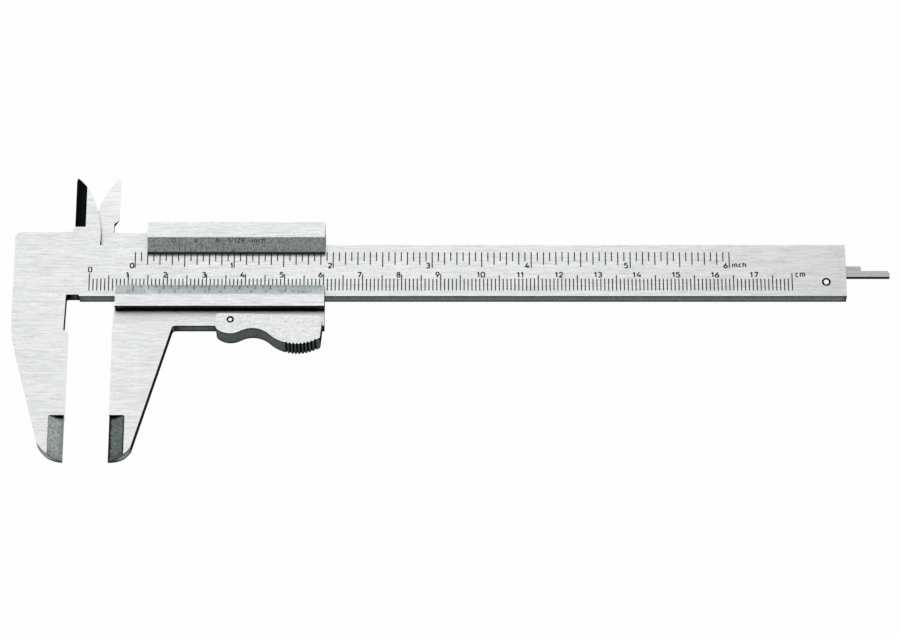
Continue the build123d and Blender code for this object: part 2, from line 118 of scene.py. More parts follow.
class Wire:
    """A node's output socket that takes part in Python arithmetic."""

    def __init__(self, shader: "Shader", socket: bpy.types.NodeSocket) -> None:
        """Remember the socket and the shader that it belongs to."""
        self.shader = shader
        self.socket = socket

    def _math(self, operation: str, first: "Value", second: "Value" = 0.0) -> "Wire":
        """Add a Math node.

        Args:
            operation: The node's operation.
            first: Its first input.
            second: Its second input.

        Returns:
            The node's result.
        """
        return self.shader.node("ShaderNodeMath", {"operation": operation}, {0: first, 1: second})

    def __add__(self, other: "Value") -> "Wire":
        """Add a value."""
        return self._math("ADD", self, other)

    def __radd__(self, other: "Value") -> "Wire":
        """Add to a value."""
        return self._math("ADD", other, self)

    def __sub__(self, other: "Value") -> "Wire":
        """Take a value away."""
        return self._math("SUBTRACT", self, other)

    def __rsub__(self, other: "Value") -> "Wire":
        """Take this from a value."""
        return self._math("SUBTRACT", other, self)

    def __mul__(self, other: "Value") -> "Wire":
        """Multiply by a value."""
        return self._math("MULTIPLY", self, other)

    def __rmul__(self, other: "Value") -> "Wire":
        """Multiply a value by this."""
        return self._math("MULTIPLY", other, self)

    def __truediv__(self, other: "Value") -> "Wire":
        """Divide by a value."""
        return self._math("DIVIDE", self, other)

    def __rtruediv__(self, other: "Value") -> "Wire":
        """Divide a value by this."""
        return self._math("DIVIDE", other, self)

    def __pow__(self, other: "Value") -> "Wire":
        """Raise to a power."""
        return self._math("POWER", self, other)

    def __rpow__(self, other: "Value") -> "Wire":
        """Raise a value to this power."""
        return self._math("POWER", other, self)

    def __gt__(self, other: "Value") -> "Wire":
        """Give one where this is the greater, and zero elsewhere."""
        return self._math("GREATER_THAN", self, other)

    def __lt__(self, other: "Value") -> "Wire":
        """Give one where this is the smaller, and zero elsewhere."""
        return self._math("LESS_THAN", self, other)

    def __abs__(self) -> "Wire":
        """Give the value without its sign."""
        return self._math("ABSOLUTE", self)

    def most(self, other: "Value") -> "Wire":
        """Give the greater of this and a value."""
        return self._math("MAXIMUM", self, other)

    def clamped(self) -> "Wire":
        """Limit the value to the span from zero to one."""
        return self.shader.node("ShaderNodeClamp", {}, {0: self})


Value = Union[Wire, float, Colour]


class Shader:
    """Builds a node tree, one node at a time."""

    def __init__(self, tree: bpy.types.NodeTree) -> None:
        """Start from an empty tree."""
        self.tree = tree
        self.tree.nodes.clear()

    def node(self, kind: str, settings: dict, inputs: dict, output: Union[int, str] = 0) -> Wire:
        """Add one node.

        Args:
            kind: The node's type.
            settings: Properties to set.
            inputs: Values or wires for its sockets, by index or name.
            output: The output to give back.

        Returns:
            The chosen output.
        """
        made = self.tree.nodes.new(kind)
        for name, value in settings.items():
            setattr(made, name, value)
        for key, value in inputs.items():
            if isinstance(value, Wire):
                self.tree.links.new(value.socket, made.inputs[key])
            else:
                made.inputs[key].default_value = value
        return Wire(self, made.outputs[output])

    def finish(self, kind: str, surface: Wire) -> None:
        """Link a shader to the tree's output node of the given kind."""
        made = self.tree.nodes.new(kind)
        self.tree.links.new(surface.socket, made.inputs[0])

    def surface(self, inputs: dict) -> None:
        """Give the material a Principled surface with these inputs."""
        made = self.node("ShaderNodeBsdfPrincipled", {}, inputs)
        self.finish("ShaderNodeOutputMaterial", made)

    def vector(self, operation: str, inputs: dict, output: str = "Vector") -> Wire:
        """Add a Vector Math node."""
        return self.node("ShaderNodeVectorMath", {"operation": operation}, inputs, output)

    def part(self, vector: Wire, axis: str) -> Wire:
        """Give a vector's part along an axis."""
        return self.node("ShaderNodeSeparateXYZ", {}, {0: vector}, axis)

    def place_mm(self) -> Wire:
        """Give the object coordinates in millimetres."""
        place = self.node("ShaderNodeTexCoord", {}, {}, "Object")
        return self.vector("SCALE", {0: place, "Scale": 1 / MM})

    def dot(self, first: Wire, second: Value) -> Wire:
        """Give the dot product of two directions."""
        return self.vector("DOT_PRODUCT", {0: first, 1: second}, "Value")

    def scaled(self, colour: Value, factor: Wire) -> Wire:
        """Make a colour lighter or darker."""
        return self.vector("SCALE", {0: colour, "Scale": factor})

    def edge(self, radius: float) -> Wire:
        """Give how far a bevel of this radius would turn the face: zero away from edges."""
        rounded = self.node("ShaderNodeBevel", {"samples": 6}, {"Radius": radius * MM})
        true = self.node("ShaderNodeNewGeometry", {}, {}, "Normal")
        return 1.0 - self.dot(rounded, true)

    def normal(self) -> tuple[Wire, Wire, Wire]:
        """Give the three parts of a face's own direction."""
        normal = self.node("ShaderNodeTexCoord", {}, {}, "Normal")
        return tuple(self.part(normal, axis) for axis in "XYZ")

    def noise(self, place: Wire, scale: Place, detail: float = 2.0, shift: float = 0.0) -> Wire:
        """Add a noise texture.

        Args:
            place: Coordinates to read, in millimetres.
            scale: Waves per millimetre along X, Y and Z.
            detail: Number of finer octaves.
            shift: Offset that makes one pattern differ from another.

        Returns:
            The noise, about zero to one.
        """
        moved = {"Vector": place, "Scale": scale, "Location": (shift, shift, shift)}
        placed = self.node("ShaderNodeMapping", {}, moved)
        inputs = {"Vector": placed, "Scale": 1.0, "Detail": detail}
        return self.node("ShaderNodeTexNoise", {}, inputs)

    def blend(self, factor: Value, first: Value, second: Value) -> Wire:
        """Mix two colours.

        Args:
            factor: Share of the second colour.
            first: Colour at zero.
            second: Colour at one.

        Returns:
            The mixed colour.
        """
        colours = [c if isinstance(c, Wire) else (*c, 1.0) for c in (first, second)]
        inputs = {0: factor, 6: colours[0], 7: colours[1]}
        return self.node("ShaderNodeMix", {"data_type": "RGBA"}, inputs, 2)

    def smooth(self, value: Wire, low: float, high: float) -> Wire:
        """Bring a value from low to high onto zero to one, with a smooth start and end."""
        settings = {"interpolation_type": "SMOOTHSTEP"}
        inputs = {0: value, 1: low, 2: high, 3: 0.0, 4: 1.0}
        return self.node("ShaderNodeMapRange", settings, inputs)


def new_material(name: str) -> tuple[bpy.types.Material, Shader]:
    """Add an empty material.

    Args:
        name: Its name.

    Returns:
        The material, and the shader that fills its node tree.
    """
    made = bpy.data.materials.new(name)
    made.use_nodes = True
    return made, Shader(made.node_tree)


@dataclass(frozen=True)
class Rim:
    """Dark ring of painted shade around the head of a pin."""

    x: float
    y: float
    inner: float
    outer: float
    softness: float = 0.06
    unevenness: float = 0.9

    @classmethod
    def around(cls, node: str, inner: float, outer: float) -> "Rim":
        """Place a ring around a pin.

        Args:
            node: The pin's node.
            inner: Inner radius as a share of the pin's own.
            outer: Outer radius as a share of the pin's own.

        Returns:
            The ring.
        """
        low, high = bounds_mm(node)
        radius = (high.x - low.x) / 2
        return cls((low.x + high.x) / 2, (low.y + high.y) / 2, radius * inner, radius * outer)

    def mask(self, shader: Shader, place: Wire, patch: Wire) -> Wire:
        """Find the ring.

        Args:
            shader: The shader to build in.
            place: Object coordinates in millimetres.
            patch: Noise that makes the ring uneven.

        Returns:
            A mask, one on the ring.
        """
        flat = shader.vector("MULTIPLY", {0: place, 1: (1.0, 1.0, 0.0)})
        centre = (self.x, self.y, 0.0)
        reach = shader.vector("DISTANCE", {0: flat, 1: centre}, "Value")
        reach = reach + (patch - 0.5) * self.unevenness
        soft = self.softness
        inside = shader.smooth(reach, self.inner - soft, self.inner + soft)
        return inside * (1.0 - shader.smooth(reach, self.outer - soft, self.outer + soft))


class Face:
    """What the masks on steel are made from: place, direction, kind of face and noises."""

    # How far a face's direction has to lean for the face to count as one of these
    SLANTED: Spot = (0.45, 0.7)
    LEVEL: Spot = (0.955, 0.985)
    UPPER: float = 0.3
    LOWER: float = 0.4
    LEFT: float = -0.3
    NOSE: float = 0.2
    END: float = 0.85
    LAPPED: float = 0.9

    # Waves of the noises per millimetre, and how much finer the scratches are than the grain
    FINER: float = 2.2
    BROAD: Place = (0.05, 1.1, 1.1)
    STAIN: Place = (0.16, 0.16, 0.16)
    PATCH: Place = (1.7, 1.7, 1.7)
    SPECK: Place = (1.6, 3.2, 3.2)

    # How much the fine, middle, broad and speckled noises count in the drawn grain
    STREAK: tuple[float, ...] = (1.3, 0.8, 0.2, 0.6)

    def __init__(self, shader: Shader, grain: Place) -> None:
        """Read the place and the direction, and lay the noises.

        Args:
            shader: The shader to build in.
            grain: Waves of the drawn grain per millimetre.
        """
        self.shader = shader
        self.place = shader.place_mm()
        self.x, self.y = (shader.part(self.place, axis) for axis in "XY")
        self.across, along, up = shader.normal()
        self.slanted = shader.smooth(abs(up), *self.SLANTED)
        self.level = shader.smooth(abs(up), *self.LEVEL)
        self.upper = along > self.UPPER
        self.lower = (along < self.LOWER) * (1.0 - self.slanted)
        self.left = self.across < self.LEFT
        self.nose = (abs(self.across) > self.NOSE) * self.slanted * (1.0 - self.level)
        self.end = (self.across > self.END) * (1.0 - self.slanted)
        self.fine = shader.noise(self.place, tuple(s * self.FINER for s in grain), detail=3.0)
        self.middle = shader.noise(self.place, grain, shift=7.0)
        self.broad = shader.noise(self.place, self.BROAD, shift=31.0)
        self.stain = shader.noise(self.place, self.STAIN, detail=3.0, shift=23.0)
        self.patch = shader.noise(self.place, self.PATCH, detail=3.0, shift=41.0)
        self.speck = shader.noise(self.place, self.SPECK, shift=53.0)

    def streak(self) -> Wire:
        """Give the drawn grain, from fine scratches to broad bands."""
        fine, middle, broad, speck = self.STREAK
        scratches = (self.fine - 0.5) * fine + (self.middle - 0.5) * middle
        return scratches + (self.broad - 0.5) * broad + (self.speck - 0.5) * speck


@dataclass(frozen=True)
class Steel:
    """Satin steel: drawn flats, mottled ground bevels, and sides and corners darkened as painted
    shade.
    """

    name: str

    # Flats, with streaks along the grain, and lighter above a place along Y as painted light
    flat: Colour = (0.86, 0.865, 0.875)
    flat_roughness: float = 0.32
    grain: Place = (0.12, 3.1, 3.1)
    streaks: float = 0.66
    bright_from: float = FAR
    bright_reach: float = 14.0
    bright_gain: float = 0.1
    stains: float = 0.06

    # Ground bevels, those that look left, darker as painted shade, and the start of an upper bevel
    # that lies in shade
    ground: Colour = (0.76, 0.83, 0.825)
    left_ground: Optional[Colour] = None
    ground_roughness: float = 0.34
    mottle: float = 1.9
    fine_mottle: float = 0.3
    upper_calm: float = 0.6
    shaded_until: Optional[float] = None
    shade_reach: float = 3.0
    shade: float = 0.32

    # Sides, darker than the flats as painted shade; those that look down, darker still as painted
    # shade; and among them the rounded ends of the jaws, with a painted glint
    side: Colour = (0.3, 0.315, 0.31)
    side_roughness: float = 0.18
    under: Colour = (0.08, 0.093, 0.091)
    under_metal: float = 0.6
    turned: Optional[Colour] = None
    turned_from: Spot = (0.25, 0.55)
    turned_to: Spot = (0.7, 0.88)

    # Ends that look along the beam, left of a place along X: dark as painted shade, and lighter
    # above a place along Y
    dull_end: Colour = (0.03, 0.034, 0.033)
    clear_end: Colour = (0.5, 0.52, 0.515)
    dull_before: float = FAR
    dull_below: float = FAR

    # Edges that handling has polished and that carry a painted highlight, and darker borders along
    # the edges
    edge_radius: float = 0.12
    edge_turn: Spot = (0.03, 0.3)
    edge_light: Colour = (0.86, 0.87, 0.88)
    edge_least: float = 0.3
    edge_broken: float = 0.4
    burr_width: float = 2.1
    burr_turn: Spot = (0.006, 0.09)
    burr: float = 0.95
    burr_least: float = 0.5
    nose_blunt: float = 4.0
    nose_burr: float = 0.6

    # The two ragged sides of a jaw's nose, darkened as painted shade, measured from its ends along
    # X
    nose_span: Optional[Spot] = None
    nose_left: Spot = (0.45, 0.9)
    nose_right: Spot = (-0.5, -0.2)
    nose_ragged: float = 1.6
    nose_border: float = 0.9

    # Painted shade in the corners and around a pin
    grime: Colour = (0.003, 0.004, 0.004)
    grime_reach: float = 3.0
    grime_depth: Spot = (0.06, 0.3)
    grime_spread: float = 0.4
    rim: Optional[Rim] = None

    # A lapped measuring face at a place along X
    lapped_at: Optional[float] = None
    lapped: Colour = (0.6, 0.61, 0.61)
    lapped_depth: float = 0.05

    # What grain, stains, painted shade and dark borders add to the roughness, and how the
    # scratches stand out
    grain_roughness: float = 0.12
    stain_roughness: float = 0.08
    dirt_roughness: float = 0.4
    scratch_strength: float = 0.1
    scratch_depth: float = 0.02
    scratch_mix: Spot = (0.6, 0.4)

    # The fillet that grinding has left on the plate at a rail's foot, a place along Y
    rail_foot: Optional[float] = None
    fillet_span: float = 2.2
    fillet_rise: float = 0.2
    fillet_curve: float = 1.4

    def material(self) -> bpy.types.Material:
        """Build the material.

        Returns:
            The finished material.
        """
        made, shader = new_material(self.name)
        face = Face(shader, self.grain)
        # Painted shade: ends that look along the beam are dark and not metallic
        end = face.end * (face.x < self.dull_before)
        colour = self._colour(face, end)
        shade_and_border = self._dirt(face)
        metal = (1.0 - face.lower * (1.0 - self.under_metal)) * (1.0 - shade_and_border) * (1.0 - end)
        if self.lapped_at is not None:
            near = abs(face.x - self.lapped_at) < self.lapped_depth
            lapped = (abs(face.across) > face.LAPPED) * near
            shade_and_border = shade_and_border * (1.0 - lapped)
            colour = shader.blend(lapped, colour, self.lapped)
            metal = metal.most(lapped)
        shader.surface({
            # Base colour darkened by painted shade in corners, round pins and on noses, and by the
            # dark borders
            "Base Color": shader.blend(shade_and_border, colour, self.grime),
            "Metallic": metal,
            "Roughness": self._roughness(face, shade_and_border),
            "Normal": self._bump(face),
            "Specular IOR Level": 0.0,
        })
        return made

    def _tone(self, face: Face) -> Wire:
        """Find how light each face is.

        Args:
            face: What the masks are made from.

        Returns:
            A factor about one: streaks on the flats, mottle on the bevels, painted light on the
                flats above a place along Y, and painted shade at the start of an upper bevel.
        """
        shader = face.shader
        # Painted light: the flats grow lighter above a place along Y
        bright = shader.smooth(face.y, self.bright_from, self.bright_from + self.bright_reach)
        drawn = (1.0 + face.streak() * self.streaks) * (1.0 + bright * self.bright_gain)
        calm = 1.0 - face.upper * self.upper_calm
        mottled = 1.0 + (face.patch - 0.5) * self.mottle * calm
        mottled = mottled + (face.fine - 0.5) * self.fine_mottle
        if self.shaded_until is not None:
            clear = shader.smooth(face.x, self.shaded_until - self.shade_reach, self.shaded_until)
            mottled = mottled * (1.0 - (1.0 - clear) * face.upper * self.shade)
        tone = mottled + (drawn - mottled) * face.level
        return tone * (1.0 + (face.stain - 0.5) * self.stains)

    def _colour(self, face: Face, end: Wire) -> Wire:
        """Colour every kind of face.

        Args:
            face: What the masks are made from.
            end: One on the ends that look along the beam, which are painted in shade.

        Returns:
            The colour of the clean steel.
        """
        shader = face.shader
        ground: Value = self.ground
        # Painted shade: bevels that look left are darker
        if self.left_ground is not None:
            ground = shader.blend(face.left, self.ground, self.left_ground)
        # Painted shade: sides darker than the flats, and darker still where they look down
        side = shader.blend(face.lower, self.side, self._under(face))
        colour = shader.blend(face.level, shader.blend(face.slanted, side, ground), self.flat)
        colour = shader.scaled(colour, self._tone(face))
        # Edges lighter: polished by handling, with a painted highlight
        colour = shader.blend(self._wear(face) * face.level, colour, self.edge_light)
        # Painted shade on the ends, lighter above a place along Y
        end_colour = shader.blend(face.y > self.dull_below, self.dull_end, self.clear_end)
        return shader.blend(end, colour, end_colour)

    def _under(self, face: Face) -> Value:
        """Give the colour of the sides that look down the jaws or along the beam: painted shade.

        Args:
            face: What the masks are made from.

        Returns:
            The colour, with a painted glint where the end of a jaw is rounded.
        """
        if self.turned is None:
            return self.under
        lean, shader = abs(face.across), face.shader
        # Painted glint on the rounded ends of the jaws, between two leans of the face
        turned = shader.smooth(lean, *self.turned_from)
        turned = turned * (1.0 - shader.smooth(lean, *self.turned_to))
        return shader.blend(turned, self.under, self.turned)

    def _wear(self, face: Face) -> Wire:
        """Find the edges that handling has polished and that carry a painted highlight, broken up
        by the grain.
        """
        edge = face.shader.smooth(face.shader.edge(self.edge_radius), *self.edge_turn)
        return (edge * (self.edge_least + face.fine * self.edge_broken)).clamped()

    def _dirt(self, face: Face) -> Wire:
        """Find where the steel is dark.

        Args:
            face: What the masks are made from.

        Returns:
            A mask, one where painted shade or a dark border covers the steel.
        """
        # Darker borders along the edges, blunt on the noses
        border = self._burr(face) * (1.0 - face.slanted + face.nose * self.nose_burr)
        shade_and_border = self._grime(face).most(border)
        # Painted shade: a dark ring around a pin's head
        if self.rim is not None:
            shade_and_border = shade_and_border.most(self.rim.mask(face.shader, face.place, face.patch))
        # Painted shade: the two ragged sides of a jaw's nose
        if self.nose_span is not None:
            shade_and_border = shade_and_border.most(self._nose_sides(face) * face.nose * self.nose_border)
        return shade_and_border

    def _nose_sides(self, face: Face) -> Wire:
        """Find the two ragged sides of a jaw's nose, which are darkened as painted shade."""
        left, right = self.nose_span
        ragged = face.x + (face.patch - 0.5) * self.nose_ragged
        inside = face.shader.smooth(ragged, *(left + reach for reach in self.nose_left))
        beyond = face.shader.smooth(ragged, *(right + reach for reach in self.nose_right))
        return (1.0 - inside).most(beyond)

    def _burr(self, face: Face) -> Wire:
        """Find the darker borders along the edges, which are blunt on the noses."""
        turn = face.shader.edge(self.burr_width) * (1.0 + face.nose * self.nose_blunt)
        edge = face.shader.smooth(turn, *self.burr_turn)
        return (edge * (self.burr_least + face.patch)).clamped() * self.burr

    def _grime(self, face: Face) -> Wire:
        """Find the inner corners and grooves, which are darkened as painted shade.

        Args:
            face: What the masks are made from.

        Returns:
            A mask, one in deep corners, and zero on the flats.
        """
        # Painted shade: ambient occlusion darkens the inner corners and grooves
        settings = {"samples": 8, "only_local": True}
        reach = {"Distance": self.grime_reach * MM}
        open_sky = face.shader.node("ShaderNodeAmbientOcclusion", settings, reach, "AO")
        depth = face.shader.smooth(1.0 - open_sky, *self.grime_depth)
        spread = 1.0 + face.stain * self.grime_spread
        return (depth * spread * (1.0 - face.level)).clamped()

    def _roughness(self, face: Face, shade_and_border: Wire) -> Wire:
        """Find how rough each face is.

        Args:
            face: What the masks are made from.
            shade_and_border: One where painted shade or a dark border darkens the steel.

        Returns:
            The roughness.
        """
        rough = self.side_roughness + face.slanted * (self.ground_roughness - self.side_roughness)
        rough = rough + face.level * (self.flat_roughness - self.ground_roughness)
        rough = rough + (face.fine - 0.5) * self.grain_roughness
        rough = rough + (face.stain - 0.5) * self.stain_roughness
        return rough + shade_and_border * self.dirt_roughness

    def _bump(self, face: Face) -> Wire:
        """Raise the grain, and the fillet at the rail's foot.

        Args:
            face: What the masks are made from.

        Returns:
            The bumped direction.
        """
        fine, middle = self.scratch_mix
        height, depth = face.fine * fine + face.middle * middle, self.scratch_depth * MM
        scratches = {"Height": height, "Strength": self.scratch_strength, "Distance": depth}
        bump = face.shader.node("ShaderNodeBump", {}, scratches)
        if self.rail_foot is None:
            return bump
        start = self.rail_foot - self.fillet_span
        climb = ((face.y - start) / self.fillet_span).clamped()
        height = climb ** self.fillet_curve * self.fillet_rise
        fillet = {"Height": height, "Strength": 1.0, "Distance": MM, "Normal": bump}
        return face.shader.node("ShaderNodeBump", {}, fillet)


@dataclass(frozen=True)
class Paint:
    """Dark paint wiped into the engraving, thinner and greyer in places."""

    name: str
    deep: Colour = (0.008, 0.009, 0.01)
    thin: Colour = (0.06, 0.065, 0.065)
    roughness: float = 0.8
    unevenness: float = 0.2
    gloss: float = 0.25

    # Waves of the two noises per millimetre, their shares, and the span from deep to thin
    patches: Place = (0.5, 0.5, 0.5)
    specks: Place = (4.0, 4.0, 4.0)
    mix: Spot = (0.6, 0.4)
    worn: Spot = (0.35, 0.7)

    def material(self) -> bpy.types.Material:
        """Build the material.

        Returns:
            The finished material.
        """
        made, shader = new_material(self.name)
        place = shader.place_mm()
        patch = shader.noise(place, self.patches, shift=5.0)
        speck = shader.noise(place, self.specks, shift=11.0)
        broad, fine = self.mix
        thin = shader.smooth(patch * broad + speck * fine, *self.worn)
        colour = shader.blend(thin, self.deep, self.thin)
        rough = self.roughness + (speck - 0.5) * self.unevenness
        shader.surface({
            "Base Color": colour,
            "Roughness": rough,
            "Metallic": 0.0,
            "Specular IOR Level": self.gloss,
        })
        return made


@dataclass(frozen=True)
class Bronze:
    """Dull bronze of the friction strip."""

    name: str
    fresh: Colour = (0.62, 0.42, 0.22)
    dull: Colour = (0.36, 0.24, 0.14)
    roughness: float = 0.42
    unevenness: float = 0.2

    # Waves of the grain and the tarnish per millimetre, and their shares
    grain: Place = (0.1, 6.0, 6.0)
    patches: Place = (0.5, 0.5, 0.5)
    mix: Spot = (0.5, 0.6)

    def material(self) -> bpy.types.Material:
        """Build the material.

        Returns:
            The finished material.
        """
        made, shader = new_material(self.name)
        place = shader.place_mm()
        drawn = shader.noise(place, self.grain, detail=3.0)
        tarnish = shader.noise(place, self.patches, detail=3.0, shift=9.0)
        grain, patches = self.mix
        mix = (drawn * grain + tarnish * patches).clamped()
        shader.surface({
            "Base Color": shader.blend(mix, self.fresh, self.dull),
            "Metallic": 1.0,
            "Roughness": self.roughness + (tarnish - 0.5) * self.unevenness,
        })
        return made


class Bench:
    """Hand operations on meshes."""

    @staticmethod
    def deselect() -> None:
        """Leave nothing selected."""
        if bpy.context.object and bpy.context.object.mode != "OBJECT":
            bpy.ops.object.mode_set(mode="OBJECT")
        bpy.ops.object.select_all(action="DESELECT")

    @staticmethod
    def activate(piece: bpy.types.Object) -> None:
        """Select one piece alone and make it the active one."""
        Bench.deselect()
        piece.select_set(True)
        bpy.context.view_layer.objects.active = piece

    @staticmethod
    def block(low: Place, high: Place) -> bpy.types.Object:
        """Add a block between two corners, in millimetres.

        Args:
            low: Its lowest corner.
            high: Its highest corner.

        Returns:
            The new object, with its place in its mesh.
        """
        Bench.deselect()
        centre = [(a + b) / 2 * MM for a, b in zip(low, high)]
        size = [(b - a) * MM for a, b in zip(low, high)]
        bpy.ops.mesh.primitive_cube_add(size=1.0, location=centre, scale=size)
        made = bpy.context.object
        bpy.ops.object.transform_apply(location=True, rotation=True, scale=True)
        return made

    @staticmethod
    def pinch_bottom(piece: bpy.types.Object) -> None:
        """Draw the lower side of a block together to a line, which makes it a wedge."""
        Bench.activate(piece)
        points = piece.data.vertices
        floor = min(p.co.z for p in points)
        centre = sum((p.co for p in points), Vector()) / len(points)
        bpy.ops.object.mode_set(mode="EDIT")
        bpy.ops.mesh.select_all(action="DESELECT")
        shape = bmesh.from_edit_mesh(piece.data)
        for vert in shape.verts:
            vert.select_set(vert.co.z < floor + TINY)
        shape.select_flush(True)
        bmesh.update_edit_mesh(piece.data)
        bpy.ops.transform.resize(value=(0.0, 1.0, 1.0), center_override=centre)
        bpy.ops.mesh.remove_doubles(threshold=TINY)
        bpy.ops.object.mode_set(mode="OBJECT")

    @staticmethod
    def repeat(piece: bpy.types.Object, count: int, step: float) -> None:
        """Repeat a piece along X.

        Args:
            piece: What to repeat.
            count: How many there are in all.
            step: Distance from one to the next, in millimetres.
        """
        Bench.activate(piece)
        row = piece.modifiers.new("row", "ARRAY")
        row.use_relative_offset = False
        row.use_constant_offset = True
        row.constant_offset_displace = (step * MM, 0.0, 0.0)
        row.count = count
        bpy.ops.object.modifier_apply(modifier=row.name)

    @staticmethod
    def join(parts: list[bpy.types.Object], name: str) -> bpy.types.Object:
        """Join parts to one piece.

        Args:
            parts: The parts.
            name: Name of the piece.

        Returns:
            The joined piece.
        """
        Bench.deselect()
        for part in parts:
            part.select_set(True)
        bpy.context.view_layer.objects.active = parts[0]
        if len(parts) > 1:
            bpy.ops.object.join()
        made = bpy.context.object
        made.name = name
        made.data.name = name
        return made


@dataclass(frozen=True)
class MarkRow:
    """A row of equal marks, drawn on the plane Z = 0."""

    first: float
    step: float
    count: int
    low: float
    high: float

    def build(self, width: float, depth: float, proud: float) -> bpy.types.Object:
        """Make the paint that fills the marks.

        Args:
            width: Width of a mark at the surface.
            depth: Depth of its V section.
            proud: How far the paint stands out of the surface.

        Returns:
            The marks as one object.
        """
        wedge = Bench.block(
            (self.first - width / 2, self.low, -depth), (self.first + width / 2, self.high, proud)
        )
        Bench.pinch_bottom(wedge)
        if self.count > 1:
            Bench.repeat(wedge, self.count, self.step)
        return wedge


# Degrees: one step of an arc, and the turn from which a corner is eased
ARC_STEP = 24
SHARP = 40


def arc(x: float, y: float, rx: float, ry: float, start: float, end: float) -> list[Spot]:
    """List the points of an arc, in a cell one high.

    Args:
        x: Centre along the line of writing.
        y: Centre above the line of writing.
        rx: Radius along the line.
        ry: Radius across it.
        start: First angle in degrees, counterclockwise from the right.
        end: Last angle in degrees.

    Returns:
        The points.
    """
    steps = max(3, round(abs(end - start) / ARC_STEP))
    angles = [math.radians(start + (end - start) * i / steps) for i in range(steps + 1)]
    return [(x + rx * math.cos(a), y + ry * math.sin(a)) for a in angles]


def eased(path: list[Spot], reach: float = 0.07) -> list[Spot]:
    """Turn a path's sharp corners in three small steps, which keeps the stroke's width.

    Args:
        path: Points of a stroke, in a cell one high.
        reach: Distance from a corner at which the turn starts.

    Returns:
        The path with its corners eased.
    """
    points = [Vector(spot) for spot in path]
    made = [points[0]]
    for before, here, after in zip(points, points[1:], points[2:]):
        if (here - before).angle(after - here, 0.0) < math.radians(SHARP):
            made.append(here)
            continue
        first = here + (before - here).normalized() * reach
        last = here + (after - here).normalized() * reach
        made += [first, (first + here * 2 + last) / 4, last]
    made.append(points[-1])
    return [(point.x, point.y) for point in made]


ARCH: list[Spot] = [(0.0, 0.46)] + arc(0.24, 0.46, 0.24, 0.27, 180, 0) + [(0.48, 0.0)]

# Strokes of a plain engraver's alphabet, each a list of points along the cutter's path
LETTERS: dict[str, list[list[Spot]]] = {
    "0": [
        arc(0.27, 0.73, 0.27, 0.27, 0, 180) + arc(0.27, 0.27, 0.27, 0.27, 180, 360)
        + [(0.54, 0.73)],
    ],
    "1": [[(0.0, 0.74), (0.24, 1.0), (0.24, 0.0)]],
    "2": [arc(0.26, 0.74, 0.26, 0.26, 170, -35) + [(0.0, 0.0), (0.54, 0.0)]],
    "3": [arc(0.25, 0.76, 0.24, 0.24, 150, -100), arc(0.25, 0.26, 0.28, 0.26, 100, -150)],
    "4": [[(0.36, 1.0), (0.0, 0.27), (0.66, 0.27)], [(0.46, 0.55), (0.46, 0.0)]],
    "5": [[(0.50, 1.0), (0.08, 1.0), (0.04, 0.55)] + arc(0.25, 0.31, 0.28, 0.31, 125, -150)],
    "6": [[(0.38, 1.0)] + arc(0.27, 0.29, 0.27, 0.29, 155, 515)],
    "7": [[(0.0, 1.0), (0.58, 1.0), (0.2, 0.0)]],
    "8": [arc(0.27, 0.76, 0.22, 0.24, -90, 270), arc(0.27, 0.26, 0.27, 0.26, 90, 450)],
    "9": [[(0.16, 0.0)] + arc(0.27, 0.71, 0.27, 0.29, -25, 335)],
    "/": [[(0.0, -0.06), (0.36, 1.06)]],
    "c": [arc(0.25, 0.36, 0.25, 0.36, 50, 310)],
    "h": [[(0.0, 0.0), (0.0, 1.0)], ARCH],
    "i": [[(0.0, 0.0), (0.0, 0.72)], [(0.0, 0.94), (0.0, 1.0)]],
    "m": [
        [(0.0, 0.0), (0.0, 0.72)],
        [(0.0, 0.5)] + arc(0.19, 0.5, 0.19, 0.23, 180, 0) + [(0.38, 0.0)],
        [(0.38, 0.5)] + arc(0.57, 0.5, 0.19, 0.23, 180, 0) + [(0.76, 0.0)],
    ],
    "n": [[(0.0, 0.0), (0.0, 0.72)], ARCH],
}


